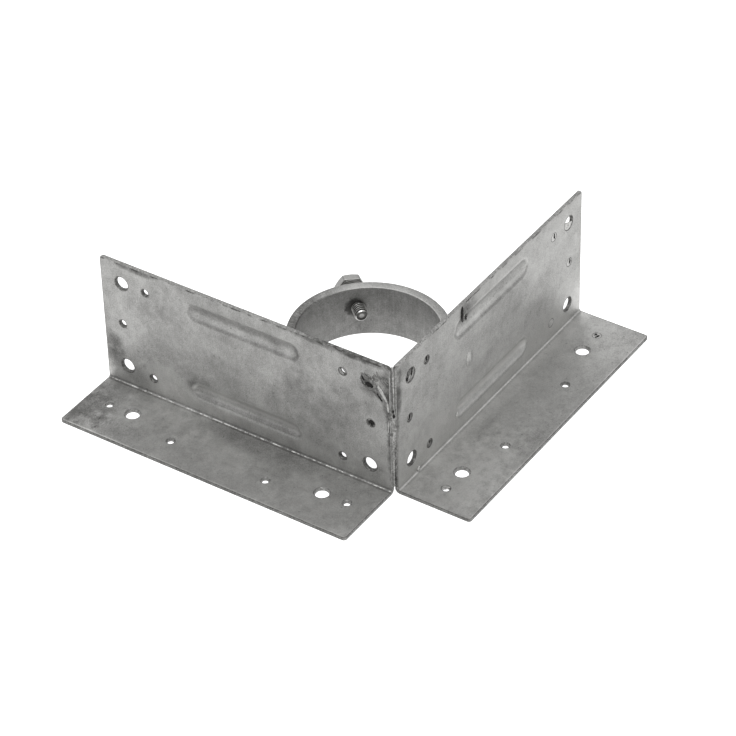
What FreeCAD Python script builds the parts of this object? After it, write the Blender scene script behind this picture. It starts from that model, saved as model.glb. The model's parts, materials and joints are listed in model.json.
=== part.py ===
"""Corner fence post adapter, in millimetres.

Two identical angle plates, folded from galvanised sheet, meet in an open corner joint. Each has a tall leg
with two pressed stiffening beads and an outward flange at its foot, both punched for lag screws and nails. A
short ring, sliced from thick tube, is welded inside the corner against both legs and slips over a round post.
One hex bolt, screwed a little askew through the ring's back wall, bears on the post and holds it.

Row frame: the post's axis is +Z and the origin lies on it, halfway up the ring. The right plate runs along
+X and the left plate along +Y, so both flanges point away from the post, towards -Y and -X.
"""
import FreeCAD, Part
import math
import os

from FreeCAD import Placement, Rotation, Vector

X = Vector(1, 0, 0)
Y = Vector(0, 1, 0)
Z = Vector(0, 0, 1)

# Angle plates
sheet = 1.5
plate_length = 152.4
leg_height = 68.8
flange_width = 38.1
bend_radius = 1.0
corner_radius = 1.6

# Pressed beads, grooves on the rail side and ridges on the post side
bead_length = 58.5
bead_width = 8.8
bead_depth = 1.5
bead_inset = 11.9
bead_blend = 1.2

# Punched holes: each row's distance from the plate's ends, and its height on the leg or reach on the flange
screw_hole = 7.1
nail_hole = 4.0
leg_screw_inset = 11.2
leg_screw_top_drop = 11.3
leg_screw_low_rise = 10.5
top_nail_inset = 24.0
top_nail_drop = 11.4
mid_nail_inset = 10.2
low_nail_inset = 25.4
low_nail_rise = 9.0
flange_screw_inset = 25.3
flange_nail_inset = 12.4
flange_row_reach = 16.6
inner_nail_inset = 50.8
inner_nail_reach = 22.9

# Post ring
ring_bore = 63.5
ring_wall = 4.5
ring_height = 25.4
ring_rise = 35.2
ring_edge = 0.4

# Set bolt, quarter inch with a half inch hex head. Its bearing is where it comes through the bore's wall, and
# its lean is how far its own axis points sideways from there.
bolt_diameter = 6.35
bolt_length = 19.05
bolt_reach_in = 6.2
bolt_bearing = 42.4
bolt_lean = 5.5
bolt_lift = 1.9
bolt_point = 0.9
hex_sides = 6
head_flats = 12.7
head_height = 4.5
head_turn = 6.0
washer_face = 0.4
washer_face_share = 0.95
head_chamfer_angle = 30.0
thread_clearance = 0.05

# Welds
root_gap = 0.3
corner_weld_leg = 4.5
corner_weld_fill = 0.5
corner_weld_bulge = 0.6
corner_weld_foot = 2.0
corner_weld_drop = 4.5
ring_weld_start = 5.0
ring_weld_reach = 12.8
ring_weld_toe = 1.5
ring_weld_bulge = 0.5
ring_weld_length = 21.0

# How far cutters run past a face, and how near an edge lies to a plane to count as on it
overrun = 3.0
on_plane = 0.1

# Worked out from the sizes above
ring_outer = ring_bore / 2 + ring_wall
leg_top = leg_height - sheet
flange_reach = flange_width - sheet
corner = -(ring_outer + sheet)
flange_top = -ring_rise
plate_start = corner + sheet + root_gap
joint_face = -ring_outer


def line(start, end):
    return Part.LineSegment(start, end).toShape()


def arc(start, middle, end):
    return Part.Arc(start, middle, end).toShape()


def fold_section(x):
    """The plate's folded section at x: the leg stands on y = 0, and the flange's top face lies on z = 0."""
    centre = Vector(x, -bend_radius, bend_radius)
    outer_radius = bend_radius + sheet
    halfway = Vector(0, 1, -1).normalize()
    leg_foot = Vector(x, 0, bend_radius)
    leg_tip = Vector(x, 0, leg_top)
    leg_back_tip = Vector(x, sheet, leg_top)
    leg_back_foot = Vector(x, sheet, bend_radius)
    under_root = Vector(x, -bend_radius, -sheet)
    under_edge = Vector(x, -flange_reach, -sheet)
    top_edge = Vector(x, -flange_reach, 0)
    top_root = Vector(x, -bend_radius, 0)
    return Part.Face(Part.Wire([
        line(leg_foot, leg_tip),
        line(leg_tip, leg_back_tip),
        line(leg_back_tip, leg_back_foot),
        arc(leg_back_foot, centre + halfway * outer_radius, under_root),
        line(under_root, under_edge),
        line(under_edge, top_edge),
        line(top_edge, top_root),
        arc(top_root, centre + halfway * bend_radius, leg_foot),
    ]))


def free_corners(plate):
    """The four short edges at the blank's free corners: two on the leg's top, two on the flange's edge."""
    found = []
    for edge in plate.Edges:
        middle = edge.CenterOfMass
        at_end = abs(abs(middle.x) - plate_length / 2) < on_plane
        on_leg_tip = abs(middle.z - leg_top) < on_plane
        on_flange_edge = abs(middle.y + flange_reach) < on_plane
        if at_end and (on_leg_tip or on_flange_edge):
            found.append(edge)
    return found


def capsule(radius, straight, centre):
    """A bar with round ends along X, the shape of a bead's die."""
    body = Part.makeCylinder(radius, straight, centre - X * (straight / 2), X)
    for side in (-1, 1):
        body = body.fuse(Part.makeSphere(radius, centre + X * (side * straight / 2)))
    return body.removeSplitter()


def bead_edges(plate, face_y, height):
    """The rim of a bead on the leg's face at y = face_y."""
    rim = []
    for edge in plate.Edges:
        box = edge.BoundBox
        in_face = box.YLength < on_plane and abs(box.YMin - face_y) < on_plane
        at_height = abs(box.Center.z - height) < bead_width
        beside = abs(box.Center.x) < bead_length / 2 + sheet
        inside_ends = box.XLength < plate_length - on_plane
        if in_face and at_height and beside and inside_ends:
            rim.append(edge)
    return rim


def press_bead(plate, height):
    """Presses one bead into the leg at this height, with the sheet's thickness kept over the bead."""
    radius = (bead_width ** 2 / 4 + bead_depth ** 2) / (2 * bead_depth)
    centre = Vector(0, bead_depth - radius, height)
    straight = bead_length - bead_width
    ridge = capsule(radius + sheet, straight, centre)
    behind = Part.makeBox(plate_length, radius, leg_top, Vector(-plate_length / 2, sheet, 0))
    plate = plate.fuse(ridge.common(behind)).cut(capsule(radius, straight, centre))
    plate = plate.removeSplitter()
    for face_y in (0, sheet):
        plate = plate.makeFillet(bead_blend, bead_edges(plate, face_y, height))
    return plate


def punched(plate, diameter, inset, height=None, reach=None):
    """A pair of holes, one from each end of the plate, in the leg at a height or the flange at a reach."""
    depth = sheet + 2 * overrun
    for side in (-1, 1):
        along = side * (plate_length / 2 - inset)
        if reach is None:
            hole = Part.makeCylinder(diameter / 2, depth, Vector(along, -overrun, height), Y)
        else:
            hole = Part.makeCylinder(diameter / 2, depth, Vector(along, -reach, -sheet - overrun), Z)
        plate = plate.cut(hole)
    return plate


def angle_plate():
    """One angle plate, centred on X, with its leg's rail side on y = 0."""
    plate = fold_section(-plate_length / 2).extrude(X * plate_length)
    plate = plate.makeFillet(corner_radius, free_corners(plate))
    plate = press_bead(plate, leg_top - bead_inset)
    plate = press_bead(plate, bead_inset)
    plate = punched(plate, screw_hole, leg_screw_inset, height=leg_top - leg_screw_top_drop)
    plate = punched(plate, screw_hole, leg_screw_inset, height=leg_screw_low_rise)
    plate = punched(plate, nail_hole, top_nail_inset, height=leg_top - top_nail_drop)
    plate = punched(plate, nail_hole, mid_nail_inset, height=leg_top / 2)
    plate = punched(plate, nail_hole, low_nail_inset, height=low_nail_rise)
    plate = punched(plate, screw_hole, flange_screw_inset, reach=flange_row_reach)
    plate = punched(plate, nail_hole, flange_nail_inset, reach=flange_row_reach)
    return punched(plate, nail_hole, inner_nail_inset, reach=inner_nail_reach)


def right_angle_plate():
    plate = angle_plate()
    middle = plate_start + plate_length / 2
    plate.Placement = Placement(Vector(middle, corner, flange_top), Rotation())
    return plate


def left_angle_plate():
    plate = angle_plate()
    middle = plate_start + plate_length / 2
    plate.Placement = Placement(Vector(corner, middle, flange_top), Rotation(Z, -90))
    return plate


def bolt_placement(reach_in):
    """Puts a shape drawn outwards along +X on the bolt's axis, to start this far inside the bore's wall."""
    wall = Rotation(Z, bolt_bearing).multVec(X * ring_bore / 2)
    turn = Rotation(Z, bolt_bearing + bolt_lean)
    return Placement(wall - turn.multVec(X * reach_in) + Z * bolt_lift, turn)


def post_ring():
    ring = Part.makeCylinder(ring_outer, ring_height, Z * (-ring_height / 2))
    ring = ring.cut(Part.makeCylinder(ring_bore / 2, ring_height, Z * (-ring_height / 2)))
    rims = [edge for edge in ring.Edges if abs(abs(edge.BoundBox.Center.z) - ring_height / 2) < on_plane]
    ring = ring.makeChamfer(ring_edge, rims)
    tapped_radius = bolt_diameter / 2 + thread_clearance
    tapped = Part.makeCylinder(tapped_radius, ring_wall + 2 * overrun, Vector(0, 0, 0), X)
    tapped.Placement = bolt_placement(overrun)
    return ring.cut(tapped)


def hex_prism(across_flats, height):
    """A hexagonal bar along +X from the origin, turned a little from having a flat on top."""
    corner_distance = across_flats / math.sqrt(3)
    corners = []
    for side in range(hex_sides + 1):
        angle = math.tau * side / hex_sides + math.radians(head_turn)
        corners.append(Vector(0, corner_distance * math.cos(angle), corner_distance * math.sin(angle)))
    return Part.Face(Part.makePolygon(corners)).extrude(X * height)


def set_bolt():
    """The bolt lies along its own axis, from its point to its head, and the head stays outside the ring."""
    point = Part.makeCone(bolt_diameter / 2 - bolt_point, bolt_diameter / 2, bolt_point, Vector(0, 0, 0), X)
    shank = Part.makeCylinder(bolt_diameter / 2, bolt_length - bolt_point, X * bolt_point, X)
    face_radius = washer_face_share * head_flats / 2
    seat = Part.makeCylinder(face_radius, washer_face, X * bolt_length, X)
    hexagon = hex_prism(head_flats, head_height - washer_face)
    spread = (head_height - washer_face) / math.tan(math.radians(head_chamfer_angle))
    dome = Part.makeCone(face_radius + spread, face_radius, head_height - washer_face, Vector(0, 0, 0), X)
    head = hexagon.common(dome)
    head.translate(X * (bolt_length + washer_face))
    bolt = point.fuse([shank, seat, head]).removeSplitter()
    bolt.Placement = bolt_placement(bolt_reach_in)
    return bolt


def corner_weld():
    """The bead in the corner's inside angle, run through the root gap into the notch outside."""
    inside = corner + sheet
    edge = plate_start
    leg_end = inside + corner_weld_leg
    fill = inside - corner_weld_fill
    foot = flange_top + corner_weld_foot
    crown = inside + corner_weld_leg / 2 + corner_weld_bulge / math.sqrt(2)
    outline = [
        Vector(inside, leg_end, foot),
        Vector(inside, edge, foot),
        Vector(fill, edge, foot),
        Vector(edge, fill, foot),
        Vector(edge, inside, foot),
        Vector(leg_end, inside, foot),
    ]
    sides = [line(start, end) for start, end in zip(outline, outline[1:])]
    sides.append(arc(outline[-1], Vector(crown, crown, foot), outline[0]))
    return Part.Face(Part.Wire(sides)).extrude(Z * (leg_top - corner_weld_foot - corner_weld_drop))


def ring_weld_bead(side):
    """One upright bead in the wedge between the ring and the right plate, on one side of their contact."""
    foot = -ring_weld_length / 2

    def on_ring(x):
        return Vector(side * x, -math.sqrt(ring_outer ** 2 - x ** 2), foot)

    root = Vector(side * ring_weld_start, joint_face, foot)
    toe = Vector(side * (ring_weld_reach + ring_weld_toe), joint_face, foot)
    tip = on_ring(ring_weld_reach)
    crown = (toe + tip) * 0.5 + X * (side * ring_weld_bulge)
    return Part.Face(Part.Wire([
        line(root, toe),
        arc(toe, crown, tip),
        arc(tip, on_ring((ring_weld_reach + ring_weld_start) / 2), on_ring(ring_weld_start)),
        line(on_ring(ring_weld_start), root),
    ])).extrude(Z * ring_weld_length)


def ring_weld_right():
    return Part.makeCompound([ring_weld_bead(-1), ring_weld_bead(1)])


def ring_weld_left():
    """The same beads on the left plate, mirrored across the corner's diagonal."""
    return ring_weld_right().mirror(Vector(0, 0, 0), X - Y)


os.makedirs("parts", exist_ok=True)
for make in (
    left_angle_plate,
    right_angle_plate,
    post_ring,
    set_bolt,
    corner_weld,
    ring_weld_left,
    ring_weld_right,
):
    shape = make()
    shape.exportStep("parts/" + make.__name__ + ".step")
    size = round(shape.Volume, 1)
    print(make.__name__, "valid", shape.isValid(), "solids", len(shape.Solids), "mm3", size)
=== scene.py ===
"""The fence post adapter's finish: punched and dipped plates, a sawn ring, hand-run welds and a bolt."""
import json
import math

import bmesh
import bpy
import numpy as np
from mathutils import Matrix, Quaternion, Vector, noise
from mathutils.geometry import delaunay_2d_cdt


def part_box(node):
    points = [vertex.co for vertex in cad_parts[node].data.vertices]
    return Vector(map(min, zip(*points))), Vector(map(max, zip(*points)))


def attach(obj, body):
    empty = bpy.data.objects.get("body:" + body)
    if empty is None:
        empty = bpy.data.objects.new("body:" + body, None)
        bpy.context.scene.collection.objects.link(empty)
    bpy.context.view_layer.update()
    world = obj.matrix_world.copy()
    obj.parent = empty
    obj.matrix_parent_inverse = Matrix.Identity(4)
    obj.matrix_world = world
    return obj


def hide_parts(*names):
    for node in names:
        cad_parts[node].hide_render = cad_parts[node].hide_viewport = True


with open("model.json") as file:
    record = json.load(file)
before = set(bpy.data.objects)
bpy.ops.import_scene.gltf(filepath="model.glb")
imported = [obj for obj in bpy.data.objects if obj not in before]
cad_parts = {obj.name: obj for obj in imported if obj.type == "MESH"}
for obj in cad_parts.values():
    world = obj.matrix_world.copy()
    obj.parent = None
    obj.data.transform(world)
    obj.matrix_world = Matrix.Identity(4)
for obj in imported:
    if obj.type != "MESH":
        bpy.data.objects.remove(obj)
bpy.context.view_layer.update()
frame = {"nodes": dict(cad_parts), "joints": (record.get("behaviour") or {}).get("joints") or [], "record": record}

mm = 0.001


# Angle plates
# Two equal blanks are sheared from 1.5 mm sheet, punched for lag screws and nails, pressed with two beads,
# folded along the leg's foot and dipped in zinc, which dries mottled and gathers soot beside the welds.
sheet = 1.5 * mm
bend_radius = 1.0 * mm
corner_radius = 1.6 * mm
sheared_lip = 0.12 * mm
punched_lip = 0.16 * mm
dipped = 0.10 * mm
large_burr = 0.45 * mm
small_burr = 0.50 * mm
lip_steps = 3
lip_support = 0.3 * mm
corner_steps = 6
bend_steps = 10
bead_length = 58.5 * mm
bead_width = 8.8 * mm
bead_depth = 1.5 * mm
bead_inset = 11.9 * mm
bead_rim = 0.3 * mm
large_hole = 3.0 * mm
large_hole_sides, small_hole_sides = 64, 40
spatter_reach = 26 * mm
merge_distance = 1e-7

mounts = {mount["name"]: mount for mount in frame["record"]["mounts"]}
plate_low, plate_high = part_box("right_angle_plate")
rail_face = -mounts["right_leg_face"]["pos_m"][1]
flange_top = plate_low.z + sheet
plate_middle = (plate_low.x + plate_high.x) / 2
half_length = (plate_high.x - plate_low.x) / 2
bend_out = rail_face + bend_radius
bend_up = flange_top + bend_radius
bend_middle = bend_radius + sheet / 2
leg_straight = plate_high.z - bend_up
bend_length = bend_middle * math.pi / 2
blank_width = leg_straight + bend_length - plate_low.y - bend_out
die_radius = (bead_width ** 2 / 4 + bead_depth ** 2) / (2 * bead_depth)
bead_rows = (bead_inset, plate_high.z - flange_top - bead_inset)


def spaced(*stops):
    """Lines across the blank, from stops of (position, step that follows it)."""
    lines = []
    for (start, step), (end, _) in zip(stops, stops[1:]):
        count = max(1, round((end - start) / step))
        lines.extend(start + (end - start) * k / count for k in range(count))
    return np.array(lines + [stops[-1][0]])


coarse, medium, fine = 1.3 * mm, 0.9 * mm, 0.45 * mm
spatter_end = -half_length + spatter_reach
bead_end = bead_length / 2
bead_past = 3 * mm
bead_band = bead_width / 2 + 2.5 * mm
along_lines = spaced(
    (-half_length, fine), (spatter_end, coarse),
    (-bead_end - bead_past, fine), (-bead_end + bead_width, medium),
    (bead_end - bead_width / 2, fine), (bead_end + bead_past, coarse),
    (half_length, 0),
)
across_lines = spaced(
    (0, medium),
    (bead_rows[0] - bead_band, fine), (bead_rows[0] + bead_band, medium),
    (bead_rows[1] - bead_band, fine), (bead_rows[1] + bead_band, medium),
    (leg_straight, bend_length / bend_steps), (leg_straight + bend_length, coarse),
    (blank_width, 0),
)


def folded(across, height):
    """Where a point of the flat blank comes to lie, as its reach outwards and its height.

    across runs from the leg's tip to the flange's edge, and height from the sheet's middle towards the rail.
    """
    turn = np.clip((across - leg_straight) / bend_middle, 0, math.pi / 2)
    radius = bend_middle - height
    out = bend_out - radius * np.cos(turn) + np.maximum(across - leg_straight - bend_length, 0)
    up = bend_up - radius * np.sin(turn) + np.maximum(leg_straight - across, 0)
    return out, up


def bead_press(along, across, radius):
    """How far the beads push a face towards the post, as round-ended channels of this section radius."""
    depth = np.zeros(len(along))
    for row in bead_rows:
        beyond = np.maximum(np.abs(along) - (bead_length - bead_width) / 2, 0)
        away = np.hypot(beyond, across - row)
        sag = np.sqrt(np.maximum(radius ** 2 - away ** 2, 0)) - radius + bead_depth
        depth += (sag + np.sqrt(sag ** 2 + bead_rim ** 2)) / 2
    return depth


def punched_holes():
    """The holes on the flat blank as (along, across, radius), from the record's bolt patterns."""
    holes = []
    for name, mount in mounts.items():
        if mount["kind"] != "bolt_pattern" or not name.startswith("right"):
            continue
        x, y, z = mount["pos_m"]
        across = plate_high.z - z if "leg" in name else leg_straight + bend_length - y - bend_out
        run = mount["dims"]["spacing_x_mm"] * mm / 2
        rise = mount["dims"].get("spacing_y_mm", 0) * mm / 2
        for row in dict.fromkeys((across - rise, across + rise)):
            for place in (x - run, x + run):
                holes.append((place - plate_middle, row, mount["dims"]["hole_r_mm"] * mm))
    return holes


def blank_edge(inset):
    """The blank's outline, moved in by inset, as one round of points."""
    radius = corner_radius - inset
    end = half_length - corner_radius
    middle = blank_width / 2
    half = middle - corner_radius
    along = along_lines[np.abs(along_lines) < end - fine / 2]
    across = across_lines[np.abs(across_lines - middle) < half - fine / 2] - middle
    sides = (
        [(end + radius, v) for v in across],
        [(u, half + radius) for u in along[::-1]],
        [(-end - radius, v) for v in across[::-1]],
        [(u, -half - radius) for u in along],
    )
    points = []
    for quarter, side in enumerate(sides):
        points.extend(side)
        start = quarter * math.pi / 2
        centre = (end if quarter in (0, 3) else -end, half if quarter in (0, 1) else -half)
        for step in range(corner_steps + 1):
            angle = start + step * math.pi / (2 * corner_steps)
            points.append((centre[0] + radius * math.cos(angle), centre[1] + radius * math.sin(angle)))
    return np.array(points) + (0, middle)


def hole_edge(hole):
    """A function like blank_edge for one punched hole, which grows where the blank would shrink.

    The zinc that the hole was dipped in closes it a little.
    """
    along, across, radius = hole
    count = large_hole_sides if radius > large_hole else small_hole_sides
    turns = np.arange(count) * math.tau / count

    def edge(inset):
        grown = radius - dipped + inset
        return np.stack([along + grown * np.cos(turns), across + grown * np.sin(turns)], axis=1)

    return edge


def lip_levels(lip_rail, lip_post, narrowing):
    """The rounded section of a cut edge, as (inset, height) from the rail's face to the post's.

    narrowing is how far zinc gathered on the burr closes a hole towards the post.
    """
    quarter = [step * math.pi / 2 / lip_steps for step in range(lip_steps + 1)]
    turns = [(1 - math.sin(angle), 1 - math.cos(angle)) for angle in quarter]
    rail = [(lip_rail * inwards, sheet / 2 - lip_rail * down) for inwards, down in turns]
    post = [(lip_post * inwards - narrowing, lip_post * down - sheet / 2) for inwards, down in turns[::-1]]
    return rail + post


def triangulated_blank():
    """The flat blank as points and triangles, with its outline and holes as rounds of point numbers."""
    holes = punched_holes()
    edges = [(blank_edge, lip_levels(sheared_lip, sheared_lip, 0))]
    for hole in holes:
        burr = large_burr if hole[2] > large_hole else small_burr
        edges.append((hole_edge(hole), lip_levels(punched_lip, sheared_lip, burr)))
    inset = punched_lip + lip_support
    grid = np.stack(np.meshgrid(along_lines, across_lines), axis=-1).reshape(-1, 2)
    margin = inset + fine / 2
    corner = (half_length - corner_radius, blank_width / 2 - corner_radius)
    past_corner = np.maximum(np.abs(grid - (0, blank_width / 2)) - corner, 0)
    keep = np.hypot(*past_corner.T) < corner_radius - margin
    for along, across, radius in holes:
        keep &= np.hypot(grid[:, 0] - along, grid[:, 1] - across) > radius + margin
    points = [edge(inset) for edge, _ in edges]
    rounds, fixed, count = [], [], 0
    for ring in points:
        rounds.append(np.arange(count, count + len(ring)))
        fixed += [(count + k, count + (k + 1) % len(ring)) for k in range(len(ring))]
        count += len(ring)
    points = np.concatenate(points + [grid[keep]])
    made, _, faces, kept, _, _ = delaunay_2d_cdt([Vector(p) for p in points], fixed, [], 1, 1e-9)
    number = {old: new for new, olds in enumerate(kept) for old in olds}
    rounds = [np.array([number[k] for k in ring]) for ring in rounds]
    made = np.array([tuple(p) for p in made])
    faces = np.array(faces)
    middles = made[faces].mean(axis=1)
    solid = np.ones(len(faces), bool)
    for along, across, radius in holes:
        solid &= np.hypot(middles[:, 0] - along, middles[:, 1] - across) > radius
    return made, faces[solid], rounds, edges


def swelling(along, across, lumps):
    """How far burns and runs raise or sink the leg's rail face.

    Each lump is (along, up, half width, half height, rise), in millimetres.
    """
    rise = np.zeros(len(along))
    for place, up, half_along, half_up, height in lumps.values():
        a = (along + plate_middle) / mm - place
        b = (plate_high.z - across) / mm - up
        rise += height * mm * np.exp(-(a / half_along) ** 2 - (b / half_up) ** 2)
    return rise


def to_left(along, out, up):
    """A place on the left plate, in the row frame."""
    return -out, along, up


def to_right(along, out, up):
    """The same on the right plate."""
    return along, -out, up


def plate_mesh(name, blank, lumps, to_row):
    """Gives the flat blank its thickness, lips, beads and fold, and each face its material's slot."""
    points, triangles, rounds, edges = blank
    along, across = points.T
    count = len(points)
    zinc_slot, sheared_slot, punched_slot = range(3)
    slots = [zinc_slot] * 2 * len(triangles)
    rail_height = sheet / 2 - bead_press(along, across, die_radius) + swelling(along, across, lumps)
    post_height = -sheet / 2 - bead_press(along, across, die_radius + sheet)
    flat = [points, points]
    heights = [rail_height, post_height]
    faces = triangles.tolist() + (triangles[:, ::-1] + count).tolist()
    total = 2 * count
    for ring, (edge, levels) in zip(rounds, edges):
        cut_slot = sheared_slot if edge is blank_edge else punched_slot
        slots += [cut_slot] * len(ring) * (len(levels) + 1)
        rows = [ring]
        for inset, height in levels:
            level = edge(inset)
            flat.append(level)
            heights.append(np.full(len(level), height))
            rows.append(np.arange(total, total + len(level)))
            total += len(level)
        rows.append(ring + count)
        for upper, lower in zip(rows, rows[1:]):
            after_upper, after_lower = np.roll(upper, -1), np.roll(lower, -1)
            faces += np.stack([upper, lower, after_lower, after_upper], axis=1).tolist()
    flat = np.concatenate(flat)
    out, up = folded(flat[:, 1], np.concatenate(heights))
    places = zip((flat[:, 0] + plate_middle).tolist(), out.tolist(), up.tolist())
    return solid_object(name, [to_row(*place) for place in places], faces, slots=slots)


def circle(count):
    """The cosine and sine of this many even turns."""
    return [(math.cos(k * math.tau / count), math.sin(k * math.tau / count)) for k in range(count)]


def strips(rounds, size, start=0, closed=False):
    """Four-sided faces between rounds of size corners. closed joins the last round to the first."""
    faces = []
    for k in range(rounds if closed else rounds - 1):
        here, there = start + k * size, start + (k + 1) % rounds * size
        for j in range(size):
            after = (j + 1) % size
            faces.append((here + j, here + after, there + after, there + j))
    return faces


def capped_tube(rounds, size):
    """The faces of a tube through rounds of size corners, with both ends closed."""
    last = (rounds - 1) * size
    return strips(rounds, size) + [tuple(range(size)), tuple(range(last, last + size))]


def solid_object(name, corners, faces, crease=None, slots=None):
    """A closed mesh object with its normals outwards, smooth except where it turns by more than crease."""
    mesh = bpy.data.meshes.new(name)
    mesh.from_pydata(corners, [], faces)
    if slots:
        mesh.polygons.foreach_set("material_index", slots)
    built = bmesh.new()
    built.from_mesh(mesh)
    bmesh.ops.remove_doubles(built, verts=built.verts, dist=merge_distance)
    bmesh.ops.recalc_face_normals(built, faces=built.faces)
    if built.calc_volume(signed=True) < 0:
        bmesh.ops.reverse_faces(built, faces=built.faces)
    built.to_mesh(mesh)
    built.free()
    mesh.polygons.foreach_set("use_smooth", [True] * len(mesh.polygons))
    if crease is not None:
        mesh.set_sharp_from_angle(angle=crease)
    made = bpy.data.objects.new(name, mesh)
    bpy.context.scene.collection.objects.link(made)
    return made


class Field:
    """One output in a material's nodes, which varies over the surface. The operators add Math nodes."""

    def __init__(self, tree, socket=None):
        self.tree = tree
        self.socket = socket

    def node(self, kind, settings, inputs, output=0):
        """Adds one node, with its settings and then its sockets' values or links, and gives an output."""
        made = self.tree.nodes.new("ShaderNode" + kind)
        for name, value in settings.items():
            setattr(made, name, value)
        for name, value in inputs.items():
            if isinstance(value, Field):
                self.tree.links.new(value.socket, made.inputs[name])
            else:
                made.inputs[name].default_value = value
        return Field(self.tree, made.outputs[output])

    def math(self, operation, *others):
        return self.node("Math", {"operation": operation}, dict(enumerate((self, *others))))

    def vector(self, operation, *others, output=0):
        """A VectorMath node, whose output 1 is a number."""
        return self.node("VectorMath", {"operation": operation}, dict(enumerate((self, *others))), output)

    def __add__(self, other):
        return self.math("ADD", other)

    def __sub__(self, other):
        return self.math("SUBTRACT", other)

    def __rsub__(self, other):
        return self * -1 + other

    def __mul__(self, other):
        return self.math("MULTIPLY", other)

    def __truediv__(self, other):
        return self.math("DIVIDE", other)

    def __abs__(self):
        return self.math("ABSOLUTE")

    __radd__ = __add__
    __rmul__ = __mul__

    def smooth(self, start, end):
        """0 at start and 1 at end, whichever of them is higher, with a soft rise between."""
        ends = {"Value": self, "From Min": start, "From Max": end}
        return self.node("MapRange", {"interpolation_type": "SMOOTHSTEP"}, ends)

    def near(self, value, gone, full):
        """1 where the field is within full of a value and 0 where it is further off than gone."""
        return abs(self - value).smooth(gone, full)

    def scaled(self, *factors):
        return self.vector("MULTIPLY", factors)

    def length(self):
        return self.vector("LENGTH", output=1)

    def cloud(self, size, detail=3.0):
        """Noise about 0, with patches of this size in millimetres, on a place in millimetres."""
        inputs = {"Vector": self, "Scale": 1 / size, "Detail": detail, "Roughness": 0.6}
        return self.node("TexNoise", {}, inputs) - 0.5

    def blend(self, low, high):
        """A colour between two, by this field. A Mix node's colours are inputs 6 and 7 and output 2."""
        return self.node("Mix", {"data_type": "RGBA"}, {0: self, 6: low, 7: high}, 2)

    def parts(self):
        return [self.node("SeparateXYZ", {}, {0: self}, axis) for axis in range(3)]


zinc_colours = (0.070, 0.069, 0.066, 1), (0.620, 0.618, 0.605, 1)
tone_range = (-0.25, 1.25)
zinc_clouds = ((26.0, 0.28), (7.0, 0.18), (2.6, 0.18))
spangle_size, spangle_tone = 2.2, 0.05
grain_size, grain_tone = 0.6, 0.48
run_width, run_tone = 1.5, 0.10
speck_size, speck_tone = 1.5, -0.22
relief_depth = 0.12 * mm
cut_roughness = 0.6


def start_finish(name):
    """A new material: its shader, the place in millimetres, and the tone and height of dipped zinc.

    The zinc has clouds, small crystals, fine grain, runs and dark specks.
    """
    material = bpy.data.materials.new(name)
    material.use_nodes = True
    tree = material.node_tree
    place = Field(tree).node("TexCoord", {}, {}, "Object").scaled(1 / mm, 1 / mm, 1 / mm)
    clouds = sum(place.cloud(size) * strength for size, strength in zinc_clouds)
    crystals = place.node("TexVoronoi", {}, {"Vector": place, "Scale": 1 / spangle_size}, "Color") - 0.5
    grain = place.cloud(grain_size, 2.0)
    runs = place.scaled(1.0, 1.0, 0.2).cloud(run_width, 2.0)
    specks = place.cloud(speck_size, 2.0).smooth(0.15, 0.26)
    tone = clouds + crystals * spangle_tone + grain * grain_tone + runs * run_tone + specks * speck_tone
    height = place.cloud(3.2) * 0.5 + grain * 0.6 + crystals * 0.05
    return material, tree.nodes["Principled BSDF"], place, tone, height


def end_finish(shader, tone, roughness, height, depth=relief_depth, colours=zinc_colours, metallic=1.0):
    """Links a finish's fields to its shader. The tone goes from the first colour to the second."""
    looks = {
        "Base Color": tone.blend(*colours),
        "Roughness": roughness,
        "Metallic": metallic,
        "Normal": height.node("Bump", {}, {"Strength": 1.0, "Distance": depth, "Height": height}),
    }
    for name, value in looks.items():
        if isinstance(value, Field):
            value.tree.links.new(value.socket, shader.inputs[name])
        else:
            shader.inputs[name].default_value = value


def cut_finish(name, level, torn_depth, flange_light_and_shade):
    """The steel of a sheared or punched edge, torn along the cut, with painted light and shade on the flange.

    Places are in millimetres of the row frame. Soot lies on the left leg's tip and by the seam. On the flange,
    sheared faces get painted shade and the walls of holes painted light, and the left flange's outer face more
    painted shade.
    """
    material, shader, place, tone, height = start_finish(name)
    x, y, up = place.parts()
    torn = place.cloud(1.0, 3.0)
    by_seam = y.smooth(-36.0, -36.3) * x.smooth(-35.0, -35.6)
    speckled = place.cloud(2.5, 4.0).smooth(-0.12, 0.12) + 0.3
    on_tip = y.smooth(22, -10) * x.smooth(-34, -36) * up.smooth(30.5, 31.6) * speckled
    # Painted shade on the flange's sheared faces and painted light on its holes' walls; more painted shade on the
    # left flange's outer face.
    on_flange = up.smooth(flange_top / mm + 1.0, flange_top / mm + 0.1)
    left_flange_face_shade = x.smooth(-73.9, -74.2)
    tone = tone + torn * torn_depth + on_flange * flange_light_and_shade - left_flange_face_shade * 0.10
    tone = (tone - by_seam * 0.08 - on_tip * 0.35 + level).smooth(*tone_range)
    end_finish(shader, tone, cut_roughness, height + torn)
    return material


def marks_tone(across, up, ragged, marks):
    """The change of tone by ragged ovals.

    Each mark is (centre across, centre up, half width, half height, change), in millimetres.
    """
    tone = 0
    for centre_across, centre_up, half_width, half_height, change in marks.values():
        a = (across - centre_across) / half_width
        b = (up - centre_up) / half_height
        tone = tone + (a * a + b * b + ragged).smooth(1.9, -0.5) * change
    return tone


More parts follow.
